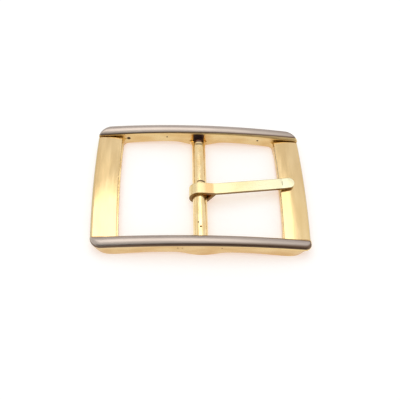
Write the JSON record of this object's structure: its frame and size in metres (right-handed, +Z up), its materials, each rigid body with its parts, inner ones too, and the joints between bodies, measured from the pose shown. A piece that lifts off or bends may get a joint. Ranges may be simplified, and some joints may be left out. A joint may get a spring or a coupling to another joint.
{
  "type": "centre-bar strap buckle",
  "caption": "Two-tone rectangular strap buckle with a centre bar, satin half-round rails, polished end plates and a hinged strip prong.",
  "frame": {"origin": "on the ground plane, under the middle of the buckle's overall length and width", "axes": "+X along the strap, from the centre bar to the prong's tip; +Y across the strap, along the centre bar; +Z up, out of the buckle's front"},
  "size_m": [0.048, 0.0318, 0.0054],
  "materials": {
    "cast_gold": "gold-plated casting, lightly pitted satin",
    "polished_gold": "polished gold plate",
    "satin_nickel": "satin nickel, brushed along the rail"
  },
  "bodies": {
    "buckle": {"frame": "cast_gold", "near_rail": "satin_nickel", "far_rail": "satin_nickel", "left_end_plate": "polished_gold", "right_end_plate": "polished_gold", "centre_bar": "polished_gold", "near_rail_rivets": "cast_gold", "far_rail_rivets": "cast_gold", "left_plate_rivets": "cast_gold", "right_plate_rivets": "cast_gold"},
    "prong": {"prong": "polished_gold"}
  },
  "joints": [
    {"name": "prong_swing", "type": "hinge", "parent": "buckle", "child": "prong", "pos_m": [-0.00025, -0.0018, 0.0024], "axis": [0, -1, 0], "range_deg": [0, 175]}
  ]
}
